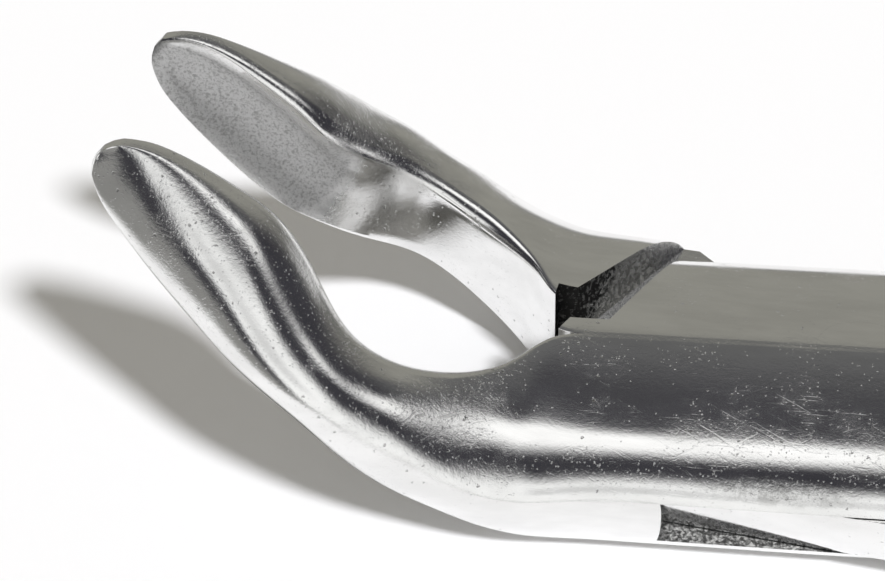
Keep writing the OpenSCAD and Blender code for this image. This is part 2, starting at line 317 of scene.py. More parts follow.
# Rings per millimetre in the joint and in the handles, as shares of those in the beaks.
JOINT_RINGS = 0.3
HANDLE_RINGS = 0.4


def share_past(value, start, reach):
    """0 up to the start, 1 from the end of the reach on, and straight between them."""
    return min(1, max(0, (value - start) / reach))


def mesh_object(name, bm):
    """An object at the origin that takes over a bmesh."""
    mesh = bpy.data.meshes.new(name)
    bm.to_mesh(mesh)
    bm.free()
    obj = bpy.data.objects.new(name, mesh)
    bpy.context.scene.collection.objects.link(obj)
    return obj


def eased(at, knots):
    """The same curve with its bends spread along the beak, so that reflections run on smoothly."""
    stop = knots[JOINT_START] + EASE_STOP[0]

    def spread(s):
        reach = EASE_MM * share_past(s, *EASE_START) * share_past(-s, -stop, EASE_STOP[1])
        if reach < EASE_LEAST:
            return at(s)
        return sum(w * at(s + reach * k) for k, w in zip(EASE_PLACES, EASE_WEIGHTS))
    return spread


def loft(name, first, last, steps_per_mm, mirrored=False):
    """One side of the forceps between two rows, grown ring by ring from the first section."""
    rows = all_rows()
    mids = (rows[:, 0:3] + rows[:, 3:6]) / 2
    knots = np.r_[0, np.cumsum(np.linalg.norm(np.diff(mids, axis=0), axis=1))]
    at = eased(smooth_curve(knots, rows), knots)
    stops = [knots[first]]
    for i in range(first, last):
        share = 1 if i < JOINT_START else JOINT_RINGS if i < JOINT_END else HANDLE_RINGS
        n = max(2, int(round((knots[i + 1] - knots[i]) * steps_per_mm * share)))
        stops += [knots[i] + (knots[i + 1] - knots[i]) * k / n for k in range(1, n + 1)]
    if first == 0:
        stops[0] += TIP_ROUND
    if last == LAST_ROW:
        stops[-1] -= END_ROUND
    rings = [section(at(s)) for s in stops]
    if first == 0:
        rings = rounded_end(rings[0], rings[1], TIP_ROUND) + rings
    if last == LAST_ROW:
        rings = rings + rounded_end(rings[-1], rings[-2], END_ROUND)[::-1]
    bm = bmesh.new()
    ring = bmesh.ops.create_circle(bm, segments=len(rings[0]), radius=1)["verts"]
    for v, p in zip(ring, rings[0]):
        v.co = p
    bm.faces.new(ring)
    for points in rings[1:]:
        edges = [bm.edges.get((ring[k], ring[(k + 1) % len(ring)])) for k in range(len(ring))]
        grown = bmesh.ops.extrude_edge_only(bm, edges=edges)
        fresh = {v for v in grown["geom"] if isinstance(v, bmesh.types.BMVert)}
        ring = [next(e.other_vert(v) for e in v.link_edges if e.other_vert(v) in fresh) for v in ring]
        for v, p in zip(ring, points):
            v.co = p
    bm.faces.new(ring)
    if mirrored:
        bmesh.ops.scale(bm, vec=(1, -1, 1), verts=bm.verts)
    bmesh.ops.scale(bm, vec=(MM, MM, MM), verts=bm.verts)
    bmesh.ops.recalc_face_normals(bm, faces=bm.faces)
    return mesh_object(name, bm)


def rounded_end(ring, inner, reach):
    """Rings that close an end with a small dome, from its pole to the ring."""
    middle = sum(ring, Vector()) / len(ring)
    away = (middle - sum(inner, Vector()) / len(inner)).normalized()
    made = []
    for a in DOME_ANGLES:
        size, rise = math.sin(math.radians(a)), math.cos(math.radians(a))
        made.append([middle + (p - middle) * size + away * reach * rise for p in ring])
    return made


def prism(name, outline, low=CUT_LOW, high=CUT_HIGH):
    """An upright block on an outline in millimetres, from low to high."""
    bm = bmesh.new()
    verts = [bm.verts.new((x * MM, y * MM, low * MM)) for x, y in outline]
    face = bm.faces.new(verts)
    up = bmesh.ops.extrude_face_region(bm, geom=[face])
    top = [v for v in up["geom"] if isinstance(v, bmesh.types.BMVert)]
    bmesh.ops.translate(bm, vec=(0, 0, (high - low) * MM), verts=top)
    bmesh.ops.recalc_face_normals(bm, faces=bm.faces)
    return mesh_object(name, bm)


def round_bar(name, radius, low=CUT_LOW, high=CUT_HIGH):
    """An upright bar about the pin's axis."""
    bm = bmesh.new()
    bmesh.ops.create_cone(bm, cap_ends=True, segments=ROUND_SIDES, radius1=radius * MM, radius2=radius * MM,
                          depth=(high - low) * MM, matrix=Matrix.Translation((0, 0, (low + high) / 2 * MM)))
    return mesh_object(name, bm)


def sheared(name, profile, near, far):
    """A block with a profile given as offset from the shoulder line and height, running along that line."""
    bm = bmesh.new()
    verts = [bm.verts.new(((shoulder_x(near) + x) * MM, near * MM, z * MM)) for x, z in profile]
    face = bm.faces.new(verts)
    grown = bmesh.ops.extrude_face_region(bm, geom=[face])
    end = [v for v in grown["geom"] if isinstance(v, bmesh.types.BMVert)]
    bmesh.ops.translate(bm, vec=(LEAN_X * (far - near) * MM, (far - near) * MM, 0), verts=end)
    bmesh.ops.recalc_face_normals(bm, faces=bm.faces)
    return mesh_object(name, bm)


def half_turn(obj):
    """Turns a solid half a turn about the pin, in its mesh."""
    obj.data.transform(Matrix.Rotation(math.pi, 4, "Z"))
    return obj


def combine(obj, other, kind):
    """Adds, takes away or keeps the shared part of another solid, which is then removed."""
    for part in (obj, other):
        for mat in (bpy.data.materials["Worn steel"], bpy.data.materials["Roughened steel"]):
            if mat.name not in part.data.materials:
                part.data.materials.append(mat)
    mod = obj.modifiers.new("join", "BOOLEAN")
    mod.operation = kind
    mod.solver = "MANIFOLD"
    mod.object = other
    graph = bpy.context.evaluated_depsgraph_get()
    mesh = bpy.data.meshes.new_from_object(obj.evaluated_get(graph))
    obj.modifiers.clear()
    old = obj.data
    name = old.name
    obj.data = mesh
    bpy.data.meshes.remove(old)
    mesh.name = name
    gone = other.data
    bpy.data.objects.remove(other)
    bpy.data.meshes.remove(gone)
    if not mesh.polygons:
        raise RuntimeError(f"{obj.name}: nothing is left after {kind}")
    return obj


def shoulder_x(y):
    """Where the line of the box's sloped end is at a place across the joint."""
    return -CROTCH_X + LEAN_X * y


def plate_end():
    """What is cut from the end of a box plate. A narrow lip beside the other plate is left longer."""
    lip_x = -CROTCH_X - LIP_REACH
    tip_x = lip_x - LIP_TAPER
    return [(-CUT_AHEAD, -CUT_INWARD), (tip_x, -CUT_INWARD), (tip_x, -LIP_PAST), (lip_x, LIP_W),
            (shoulder_x(LIP_W) + PLATE_BACK, LIP_W), (shoulder_x(CUT_BESIDE) + PLATE_BACK, CUT_BESIDE),
            (-CUT_AHEAD, CUT_BESIDE)]


def slot_outline(inset):
    """The slot from above, which leans with the shoulders. The tongue's outline is inset at both ends."""
    lean = LEAN_X * CUT_SLOT
    return [(-CROTCH_X + inset - lean, CUT_SLOT), (-CROTCH_X + inset + lean, -CUT_SLOT),
            (CROTCH_X - inset + lean, -CUT_SLOT), (CROTCH_X - inset - lean, CUT_SLOT)]


def neck_cut():
    """What the sloped shoulder and the relief beside the crotch take from the tongue half's neck."""
    foot, head = -SHOULDER_FOOT, -SHOULDER_HEAD
    low, foot_low, foot_high, high = SHOULDER_Z
    profile = [(head, WEDGE_LOW), (head, low), (foot, foot_low), (foot, foot_high), (head, high),
               (head, WEDGE_TOP), (WEDGE_BACK, WEDGE_TOP), (WEDGE_BACK, WEDGE_LOW)]
    wedge = sheared("wedge", profile, -CUT_INWARD, CUT_BESIDE)
    front = -CROTCH_X - RELIEF_REACH
    outline = [(front, -CUT_INWARD), (CUT_BESIDE, -CUT_INWARD), (CUT_BESIDE, RELIEF_W), (front, RELIEF_W)]
    relief = prism("relief", outline, CUT_LOW, CUT_TOP)
    return wedge, relief


def grip_cuts(count, pitch, depth):
    """Cutters of the cross grooves in one grip, at +Y, as one mesh."""
    bm = bmesh.new()
    xs = [r[0] for r in HANDLE_ROWS]
    ys = [r[2] for r in HANDLE_ROWS]
    for i in range(count):
        x = GRIP_MID + (i - (count - 1) / 2) * pitch
        y = float(np.interp(x, xs, ys)) + GROOVE_LIFT
        verts = [bm.verts.new(((x + dx) * MM, (y + dy) * MM, CUT_LOW * MM)) for dx, dy in
                 ((-GROOVE_HALF_W, GROOVE_OUT), (0, -depth), (GROOVE_HALF_W, GROOVE_OUT))]
        up = bmesh.ops.extrude_face_region(bm, geom=[bm.faces.new(verts)])
        top = [v for v in up["geom"] if isinstance(v, bmesh.types.BMVert)]
        bmesh.ops.translate(bm, vec=(0, 0, GROOVE_TALL * MM), verts=top)
    bmesh.ops.recalc_face_normals(bm, faces=bm.faces)
    return mesh_object("grooves", bm)


def flip_y(obj):
    """Mirrors a solid across the middle plane, in its mesh."""
    bm = bmesh.new()
    bm.from_mesh(obj.data)
    bmesh.ops.scale(bm, vec=(1, -1, 1), verts=bm.verts)
    bmesh.ops.recalc_face_normals(bm, faces=bm.faces)
    bm.to_mesh(obj.data)
    bm.free()
    return obj


# Where a spoon's roughened face can be, in millimetres: ahead of, above and inward of these, and how far it
# has to face inward.
FACE_X = -25
FACE_Z = 5
FACE_Y = 3.2
FACE_NORMAL = -0.5
# Its half width, its shift toward the lower edge, where its round end starts along the spoon and how
# far that reaches, and the softness of its edges.
FACE_HALF_W = 2.5
FACE_SHIFT = 0.45
FACE_END = 37.5
FACE_END_REACH = 5.5
FACE_SIDE_FADE = 0.3
# Its curved inner end: place along the spoon, lean, bow, half width of the bow and fade.
FACE_START = 30.6
FACE_LEAN = 0.1
FACE_BOW = 1.1
FACE_BOW_W = 3.2
FACE_START_FADE = 0.5
# The fainter worn patch before it: level, start and fade along the spoon, end, half width and fade across it.
WORN_LEVEL = 0.5
WORN_START = (28.6, 1.2)
WORN_END = 33
WORN_HALF_W = (3.1, 0.6)


def face_share(v, side):
    """How far a point of a half belongs to the roughened face of its spoon, from 0 to 1."""
    x, y, z = v.co.x / MM, v.co.y / MM * side, v.co.z / MM
    if x > FACE_X or z < FACE_Z or v.normal.y * side > FACE_NORMAL or y > FACE_Y:
        return 0.0
    rise = z + SPOON_DROP - MID_Z
    along = -AXIS_X * x + AXIS_Z * rise
    across = AXIS_Z * x + AXIS_X * rise - SPOON_ACROSS
    half = FACE_HALF_W * math.sqrt(max(0, 1 - max(0, (along - FACE_END) / FACE_END_REACH) ** 2))
    rim = min(1, max(0, (half - abs(across + FACE_SHIFT)) / FACE_SIDE_FADE + 0.5))
    start = FACE_START + FACE_LEAN * across - FACE_BOW * (1 - (across / FACE_BOW_W) ** 2)
    beside = share_past(-abs(across), -WORN_HALF_W[0], WORN_HALF_W[1])
    worn = WORN_LEVEL * share_past(along, *WORN_START) * beside
    return max(rim * share_past(along, start, FACE_START_FADE), worn if along < WORN_END else 0)


# How thick the grime and painted shade are. Past 1 they cover the steel evenly, and below that they are
# patchy.
SLOT_GRIME_AND_SHADE = 0.62
RELIEF_GRIME_AND_SHADE = 3.5
SHOULDER_GRIME_AND_SHADE = 0.4
# How near a point must be to a cut face to lie on it, in millimetres.
ON_CUT = 0.02
ON_SLOPE = 0.06
RELIEF_NEAR = 4
RELIEF_LOW = -1


def grime_and_shade_share(v, tongue):
    """How far grime and painted shade sit at a point: in the slot, beside the crotch and on the sloped
    shoulders.
    """
    x, y, z = v.co.x / MM, v.co.y / MM, v.co.z / MM
    if not tongue:
        return SLOT_GRIME_AND_SHADE if abs(abs(z - SLOT_Z) - SLOT_H / 2) < ON_CUT else 0.0
    if x > 0:
        x, y = -x, -y
    if RELIEF_LOW < y < RELIEF_W + ON_CUT and abs(x + CROTCH_X) < RELIEF_NEAR:
        on_relief = abs(y - RELIEF_W) < ON_CUT or abs(x + CROTCH_X + RELIEF_REACH) < ON_CUT
        return RELIEF_GRIME_AND_SHADE if on_relief else 0.0
    slope = max(0, 1 - abs(z - SLOT_Z) / SHOULDER_RISE)
    lean = SHOULDER_HEAD - (SHOULDER_HEAD - SHOULDER_FOOT) * slope
    on_shoulder = abs(x - shoulder_x(y) + lean) < ON_SLOPE and y > RELIEF_W - ON_CUT
    return SHOULDER_GRIME_AND_SHADE if on_shoulder else 0.0


# Points nearer than the first are merged and edges shorter than the second are closed, in metres.
WELD = 0.000002
LEAST_EDGE = 0.000001
CRISP_ANGLE = 28
# Above this height, in millimetres, the tips have no crisp edges.
TIP_Z = 19.6


def finish_piece(obj, turn):
    """Turns a piece to its place at rest, marks its rough places and where grime and painted shade sit, and
    keeps its cut edges crisp.
    """
    bm = bmesh.new()
    bm.from_mesh(obj.data)
    bmesh.ops.remove_doubles(bm, verts=bm.verts, dist=WELD)
    bmesh.ops.dissolve_degenerate(bm, edges=bm.edges, dist=LEAST_EDGE)
    mask = bm.verts.layers.float.new("face")
    grime_and_shade = bm.verts.layers.float.new("grime_and_shade")
    for v in bm.verts:
        v[mask] = face_share(v, 1 if turn < 0 else -1)
        v[grime_and_shade] = grime_and_shade_share(v, turn < 0)
    bmesh.ops.rotate(bm, cent=(0, 0, 0), matrix=Matrix.Rotation(turn, 3, "Z"), verts=bm.verts)
    for f in bm.faces:
        f.smooth = True
        f.material_index = 1 if max(v[mask] for v in f.verts) > 0 or min(v[grime_and_shade] for v in f.verts) > 0 else 0
    bm.to_mesh(obj.data)
    bm.free()
    obj.data.set_sharp_from_angle(angle=math.radians(CRISP_ANGLE))
    for edge in obj.data.edges:
        if min(obj.data.vertices[k].co.z for k in edge.vertices) > TIP_Z * MM:
            edge.use_edge_sharp = False
    return obj


def add_node(tree, kind, place, **settings):
    """A node at its place in the node editor, with its settings."""
    made = tree.nodes.new(kind)
    made.location = place
    for key, value in settings.items():
        setattr(made, key, value)
    return made


def math_node(tree, place, operation, a, b=None):
    """One operation on values, each a socket or a number."""
    made = add_node(tree, "ShaderNodeMath", place, operation=operation)
    for k, v in enumerate((a, b)):
        if v is None:
            continue
        if isinstance(v, (int, float)):
            made.inputs[k].default_value = v
        else:
            tree.links.new(v, made.inputs[k])
    return made.outputs[0]


def range_node(tree, place, value, low, high, out_low=0.0, out_high=1.0):
    """A value eased from one range to another, and held at its ends."""
    made = add_node(tree, "ShaderNodeMapRange", place)
    made.interpolation_type = "SMOOTHSTEP"
    tree.links.new(value, made.inputs["Value"])
    made.inputs["From Min"].default_value = low
    made.inputs["From Max"].default_value = high
    made.inputs["To Min"].default_value = out_low
    made.inputs["To Max"].default_value = out_high
    return made.outputs["Result"]


def noise_node(tree, place, vector, scale, detail=3.0, rough=0.5):
    """A cloudy pattern from 0 to 1, at a scale per metre."""
    made = add_node(tree, "ShaderNodeTexNoise", place)
    made.inputs["Scale"].default_value = scale
    made.inputs["Detail"].default_value = detail
    made.inputs["Roughness"].default_value = rough
    tree.links.new(vector, made.inputs["Vector"])
    return made.outputs["Fac"]


# Sockets of the Mix node for colours, and of the one for values.
MIX_COLOR = (6, 7, 2)
MIX_VALUE = (2, 3, 0)


def mix_node(tree, place, share, a, b, kind="RGBA"):
    """A mix of two colours or values, each a socket or a constant."""
    made = add_node(tree, "ShaderNodeMix", place, data_type=kind)
    first, second, result = MIX_COLOR if kind == "RGBA" else MIX_VALUE
    tree.links.new(share, made.inputs[0])
    for k, v in ((first, a), (second, b)):
        if isinstance(v, bpy.types.NodeSocket):
            tree.links.new(v, made.inputs[k])
        else:
            made.inputs[k].default_value = v
    return made.outputs[result]


# How far the edge of a mark frays, how much finer the fraying is than the marks, and the full core of a mark.
FRAY = 0.45
FRAY_FINENESS = 2.2
DOT_CORE = 0.4
SPOT_CORE = 0.35


def dots(tree, place, vector, scale, share, radius):
    """Frayed marks in a share of the cells of a pattern."""
    x, y = place
    cells = add_node(tree, "ShaderNodeTexVoronoi", place, feature="F1")
    cells.inputs["Scale"].default_value = scale
    tree.links.new(vector, cells.inputs["Vector"])
    torn = noise_node(tree, (x, y + 200), vector, scale * FRAY_FINENESS, 2)
    torn = math_node(tree, (x + 50, y + 200), "SUBTRACT", torn, 0.5)
    torn = math_node(tree, (x + 100, y + 200), "MULTIPLY", torn, FRAY * 2)
    edge = math_node(tree, (x + 150, y + 200), "ADD", cells.outputs["Distance"], torn)
    shape = range_node(tree, (x + 200, y), edge, radius * DOT_CORE, radius, 1, 0)
    parts = add_node(tree, "ShaderNodeSeparateColor", (x + 200, y - 200))
    tree.links.new(cells.outputs["Color"], parts.inputs[0])
    picked = math_node(tree, (x + 400, y - 200), "LESS_THAN", parts.outputs[0], share)
    return math_node(tree, (x + 600, y), "MULTIPLY", shape, picked)


def rubbed(tree, place, vector, middle, reach):
    """1 in the middle of an oval spot in millimetres, fading to 0 at its edge."""
    spot = add_node(tree, "ShaderNodeMapping", place, vector_type="TEXTURE")
    spot.inputs["Location"].default_value = [v * MM for v in middle]
    spot.inputs["Scale"].default_value = [v * MM for v in reach]
    tree.links.new(vector, spot.inputs["Vector"])
    far = add_node(tree, "ShaderNodeVectorMath", (place[0] + 200, place[1]), operation="LENGTH")
    tree.links.new(spot.outputs[0], far.inputs[0])
    return range_node(tree, (place[0] + 400, place[1]), far.outputs["Value"], SPOT_CORE, 1, 1, 0)


# Scale per metre, detail and roughness of each pattern.
CLOUDS = (230, 4, 0.6)
GRIT = (4600, 4, 0.7)
DENTS = (1500, 5, 0.7)
SMEARS = (420, 4, 0.6)
SMEAR_STRETCH = 3.5
# Where a pattern starts and where it is full, and for some its values there.
CLOUD_EDGES = (0.44, 0.62)
DENT_EDGES = (0.42, 0.6, 0.15, 1.1)
SMEAR_EDGES = (0.35, 0.7)
SCRATCH_EDGES = (0.64, 0.72)
SCRATCH_CLOUDS = (0.4, 0.65, 0.1, 1.0)
# Scale per metre, share of the cells that hold a pit, and its radius in a cell.
LARGE_PITS = (3600, 0.24, 0.34)
SMALL_PITS = (7500, 0.8, 0.42)
# Turn, stretch and scale of each set of scratches, and how much each set tips more than the last.
SCRATCH_SETS = ((0.08, 30, 5200), (-0.5, 24, 4300), (1.1, 26, 4700), (0.6, 18, 3300))
SCRATCH_TIP = 0.15
SCRATCH_ROLL = 0.1
# Wear that is there outside the patches, and how dense scratches are in rubbed spots.
LEAST_PITS = 0.02
LEAST_GRIT = 0.32
RUBBED_SCRATCHES = 1.8
# Where wear fades from the beaks to the joint and where the tips are rubbed, in metres along X.
BEAK_WEAR = (-0.026, -0.013)
TIP_WEAR = (-0.03, -0.021)
JOINT_WEAR_LEVEL = 0.38
TIP_WEAR_LEVEL = 0.4
# Middle and reach of the rubbed spots on the bend and on the joint's flank, in millimetres.
BEND_SPOT = ((-21.6, -9.4, 8.4), (4.5, 3, 3))
KNOCK_SPOT = ((-3.9, -9.3, 5.75), (5.2, 1.3, 0.85))
# Height of each kind of mark, as a share of the depth of the pits.
SMALL_HEIGHT = 0.35
GRIT_HEIGHT = 0.8
SCRATCH_HEIGHT = -0.3


def marks_group():
    """Pits, specks and fine scratches of worn, polished steel, placed in each finish with its own values."""
    tree = bpy.data.node_groups.new("Wear marks", "ShaderNodeTree")
    face = tree.interface
    face.new_socket("Vector", in_out="INPUT", socket_type="NodeSocketVector")
    for name, value in (("Pits", 0.4), ("Scratches", 0.4)):
        face.new_socket(name, in_out="INPUT", socket_type="NodeSocketFloat").default_value = value
    for name in ("Height", "Pit mask", "Scratch mask", "Patches", "Smears"):
        face.new_socket(name, in_out="OUTPUT", socket_type="NodeSocketFloat")
    inn = add_node(tree, "NodeGroupInput", (-1500, 0))
    out = add_node(tree, "NodeGroupOutput", (1100, 0))
    link = tree.links.new
    vector = inn.outputs["Vector"]
    axis = add_node(tree, "ShaderNodeSeparateXYZ", (-1300, 1100))
    link(vector, axis.inputs[0])

    # Patches, where the wear is heavier.
    front = range_node(tree, (-1100, 1100), axis.outputs["X"], *BEAK_WEAR, 1, JOINT_WEAR_LEVEL)
    cloud = noise_node(tree, (-1200, 700), vector, *CLOUDS)
    patch = range_node(tree, (-1000, 700), cloud, *CLOUD_EDGES)
    patch = math_node(tree, (-800, 800), "MULTIPLY", patch, front)
    bend = rubbed(tree, (-1500, 1400), vector, *BEND_SPOT)
    knock = rubbed(tree, (-1500, 1700), vector, *KNOCK_SPOT)
    rub = math_node(tree, (-800, 1500), "MAXIMUM", bend, knock)
    patch = math_node(tree, (-600, 900), "MAXIMUM", patch, rub)
    worn = range_node(tree, (-800, 1300), axis.outputs["X"], *TIP_WEAR, TIP_WEAR_LEVEL, 0)
    patch = math_node(tree, (-400, 900), "MAXIMUM", patch, worn)

    # Pits, specks and grit.
    share = math_node(tree, (-900, 600), "ADD", patch, LEAST_PITS)
    share = math_node(tree, (-800, 500), "MULTIPLY", share, inn.outputs["Pits"])
    pits = []
    for high, (scale, cells, radius) in ((400, LARGE_PITS), (0, SMALL_PITS)):
        part = math_node(tree, (-900, high), "MULTIPLY", share, cells)
        pits.append(dots(tree, (-700, high), vector, scale, part, radius))
    large, small = pits
    grit = noise_node(tree, (-700, -300), vector, *GRIT)
    grit = math_node(tree, (-500, -300), "SUBTRACT", grit, 0.5)
    grit_share = math_node(tree, (-500, -450), "ADD", patch, LEAST_GRIT)
    grit = math_node(tree, (-300, -300), "MULTIPLY", grit, grit_share)

    # Scratches, in sets that cross.
    lines = []
    for k, (turn, stretch, scale) in enumerate(SCRATCH_SETS):
        place = add_node(tree, "ShaderNodeMapping", (-1200, -600 - 260 * k), vector_type="TEXTURE")
        place.inputs["Rotation"].default_value = (SCRATCH_TIP * k, SCRATCH_ROLL, turn)
        place.inputs["Scale"].default_value = (stretch, 1, 1)
        link(vector, place.inputs["Vector"])
        tex = noise_node(tree, (-1000, -600 - 260 * k), place.outputs[0], scale, 2)
        lines.append(range_node(tree, (-800, -600 - 260 * k), tex, *SCRATCH_EDGES))
    scratch = lines[0]
    for k, line in enumerate(lines[1:]):
        scratch = math_node(tree, (-500 + 200 * k, -700), "MAXIMUM", scratch, line)
    scratch = math_node(tree, (200, -700), "MULTIPLY", scratch, inn.outputs["Scratches"])
    cloudy = range_node(tree, (100, -900), cloud, *SCRATCH_CLOUDS)
    rub_share = math_node(tree, (200, -1000), "MULTIPLY", rub, RUBBED_SCRATCHES)
    where = math_node(tree, (300, -900), "MAXIMUM", cloudy, rub_share)
    scratch = math_node(tree, (400, -700), "MULTIPLY", scratch, where)

    # Height of the surface, the large pits being its full depth.
    high = math_node(tree, (0, 100), "MULTIPLY", large, -1.0)
    parts = ((small, SMALL_HEIGHT), (grit, GRIT_HEIGHT), (scratch, SCRATCH_HEIGHT))
    for k, (part, level) in enumerate(parts):
        part = math_node(tree, (200 * k, -50 - 100 * k), "MULTIPLY", part, level)
        high = math_node(tree, (200 + 200 * k, 100), "ADD", high, part)
    link(high, out.inputs["Height"])

    # Dents on the joint's flank, marked as uneven pits.
    uneven = noise_node(tree, (400, 500), vector, *DENTS)
    uneven = range_node(tree, (600, 500), uneven, *DENT_EDGES)
    dent = math_node(tree, (800, 400), "MULTIPLY", knock, uneven)
    link(math_node(tree, (1000, 300), "MAXIMUM", large, dent), out.inputs["Pit mask"])
    link(scratch, out.inputs["Scratch mask"])
    link(patch, out.inputs["Patches"])
    long = add_node(tree, "ShaderNodeMapping", (-1200, 1900), vector_type="TEXTURE")
    long.inputs["Scale"].default_value = (SMEAR_STRETCH, 1, 1)
    link(vector, long.inputs["Vector"])
    smear = noise_node(tree, (-1000, 1900), long.outputs[0], *SMEARS)
    link(range_node(tree, (-800, 1900), smear, *SMEAR_EDGES), out.inputs["Smears"])
    return tree


# The same for the roughened face's grain, clouds and spots and for the grime and painted shade.
GRAIN = (6000, 5, 0.8)
GRAIN_EDGES = (0.47, 0.62)
GRAIN_HEIGHT = 1.2
FACE_CLOUDS = (900, 3)
FACE_CLOUD_EDGES = (0.4, 0.65, 0.08, 0.38)
SPOT_SCALE = 3400
SPOT_RADIUS = 0.5
SPOT_DARK = 0.7
DIRT_AND_SHADE = (3600, 5, 0.75)
DIRT_AND_SHADE_EDGES = (0.42, 0.58, 0.2, 1.4)
DIRT_AND_SHADE_ROUGH = 0.55
# How much pits darken the steel, worn patches roughen it and scratches roughen it.
PIT_DARK = 0.5
PATCH_ROUGH = 1.7
SCRATCH_ROUGH = 0.1


def steel(name, look, marks, roughened):
    """Worn, polished steel. Where roughened is set, it turns matte on the spoon faces and dark under grime
    and painted shade.
    """
    mat = bpy.data.materials.new(name)
    mat.use_nodes = True
    tree = mat.node_tree
    tree.nodes.clear()
    link = tree.links.new
    out = add_node(tree, "ShaderNodeOutputMaterial", (1500, 0))
    shade = add_node(tree, "ShaderNodeBsdfPrincipled", (1200, 0))
    link(shade.outputs[0], out.inputs[0])
    shade.inputs["Metallic"].default_value = 1.0
    where = add_node(tree, "ShaderNodeTexCoord", (-900, 0)).outputs["Object"]
    wear = add_node(tree, "ShaderNodeGroup", (-600, 0), node_tree=marks)
    wear.inputs["Pits"].default_value = look.pits
    wear.inputs["Scratches"].default_value = look.scratches
    link(where, wear.inputs["Vector"])
    pit_share = math_node(tree, (-300, 200), "MULTIPLY", wear.outputs["Pit mask"], PIT_DARK)
    smear = math_node(tree, (-300, 400), "MULTIPLY", wear.outputs["Smears"], look.smears)
    color = mix_node(tree, (-200, 300), smear, (*look.steel_color, 1), (*look.pit_color, 1))
    color = mix_node(tree, (-100, 200), pit_share, color, (*look.pit_color, 1))
    most = look.roughness * PATCH_ROUGH
    rough = range_node(tree, (-300, -100), wear.outputs["Patches"], 0, 1, look.roughness, most)
    scratch = math_node(tree, (-300, -300), "MULTIPLY", wear.outputs["Scratch mask"], SCRATCH_ROUGH)
    rough = math_node(tree, (-100, -100), "ADD", rough, scratch)
    high = wear.outputs["Height"]
    if roughened:
        share = add_node(tree, "ShaderNodeAttribute", (-600, 700), attribute_name="face").outputs["Fac"]
        grain = noise_node(tree, (-600, 500), where, *GRAIN)
        cloudy = noise_node(tree, (-800, 1100), where, *FACE_CLOUDS)
        cloudy = range_node(tree, (-600, 1100), cloudy, *FACE_CLOUD_EDGES)
        spots = dots(tree, (-600, 900), where, SPOT_SCALE, cloudy, SPOT_RADIUS)
        dark = math_node(tree, (300, 700), "MAXIMUM", range_node(tree, (100, 600), grain, *GRAIN_EDGES),
                         math_node(tree, (100, 800), "MULTIPLY", spots, SPOT_DARK))
        matte = mix_node(tree, (500, 600), dark, (*look.face_color, 1), (*look.face_dark, 1))
        color = mix_node(tree, (700, 300), share, color, matte)
        rough = mix_node(tree, (700, 0), share, rough, look.face_rough, "FLOAT")
        low = math_node(tree, (300, -300), "MULTIPLY", grain, GRAIN_HEIGHT)
        low = math_node(tree, (500, -300), "SUBTRACT", low, spots)
        dirt_and_shade = add_node(tree, "ShaderNodeAttribute", (300, 1100), attribute_name="grime_and_shade").outputs["Fac"]
        uneven = noise_node(tree, (100, 1300), where, *DIRT_AND_SHADE)
        uneven = range_node(tree, (300, 1300), uneven, *DIRT_AND_SHADE_EDGES)
        # The slot, the relief beside the crotch and the sloped shoulders are darkened here with grime and
        # painted shade.
        dirt_and_shade = math_node(tree, (500, 1200), "MULTIPLY", dirt_and_shade, uneven)
        dirt_and_shade = math_node(tree, (600, 1200), "MINIMUM", dirt_and_shade, 1.0)
        color = mix_node(tree, (900, 400), dirt_and_shade, color, (*look.grime_and_shade_color, 1))
        rough = mix_node(tree, (900, 0), dirt_and_shade, rough, DIRT_AND_SHADE_ROUGH, "FLOAT")
        coarse = math_node(tree, (600, -500), "MAXIMUM", share, dirt_and_shade)
        high = mix_node(tree, (700, -300), coarse, high, low, "FLOAT")
    link(color, shade.inputs["Base Color"])
    link(rough, shade.inputs["Roughness"])
    bump = add_node(tree, "ShaderNodeBump", (900, -300))
    bump.inputs["Strength"].default_value = 1.0
    bump.inputs["Distance"].default_value = look.pit_depth * MM
    link(high, bump.inputs["Height"])
    link(bump.outputs[0], shade.inputs["Normal"])
    return mat


class ForcepsLook(bpy.types.PropertyGroup):
    """Finish of the steel."""
    steel_color: bpy.props.FloatVectorProperty(
        name="Steel", description="Colour of the polished steel", subtype="COLOR", size=3, min=0, max=1,
        default=(0.92, 0.92, 0.915))
    pit_color: bpy.props.FloatVectorProperty(
        name="Pit colour", description="Colour in the pits", subtype="COLOR", size=3, min=0, max=1,
        default=(0.3, 0.3, 0.29))
    face_color: bpy.props.FloatVectorProperty(
        name="Gripping face", description="Colour of the roughened spoon faces", subtype="COLOR", size=3,
        min=0, max=1, default=(0.66, 0.66, 0.66))
    face_dark: bpy.props.FloatVectorProperty(
        name="Gripping face pits", description="Colour in the pits of the spoon faces", subtype="COLOR",
        size=3, min=0, max=1, default=(0.4, 0.4, 0.4))
    # This near-black colour is grime and painted shade in the slot, beside the crotch and on the shoulders.
    grime_and_shade_color: bpy.props.FloatVectorProperty(
        name="Grime", description="Colour of the dirt in the slot and beside the crotch", subtype="COLOR",
        size=3, min=0, max=1, default=(0.06, 0.06, 0.06))
    face_rough: bpy.props.FloatProperty(
        name="Gripping face roughness", description="Roughness of the spoon faces", subtype="FACTOR",
        min=0, max=1, default=0.5)
    roughness: bpy.props.FloatProperty(
        name="Roughness", description="Haze of the polish", subtype="FACTOR", min=0, max=1, default=0.115)
    pits: bpy.props.FloatProperty(
        name="Pits", description="Share of the surface with pits", subtype="FACTOR", min=0, max=1,
        default=0.5)
    scratches: bpy.props.FloatProperty(
        name="Scratches", description="Strength of the fine scratches", subtype="FACTOR", min=0, max=1,
        default=0.5)
    smears: bpy.props.FloatProperty(
        name="Smears", description="Darkness of the faint smears on the polish", subtype="FACTOR", min=0,
        max=1, default=0.16)
    pit_depth: bpy.props.FloatProperty(
        name="Pit depth", description="Depth of the pits in millimetres", min=0, max=0.1, default=0.016)


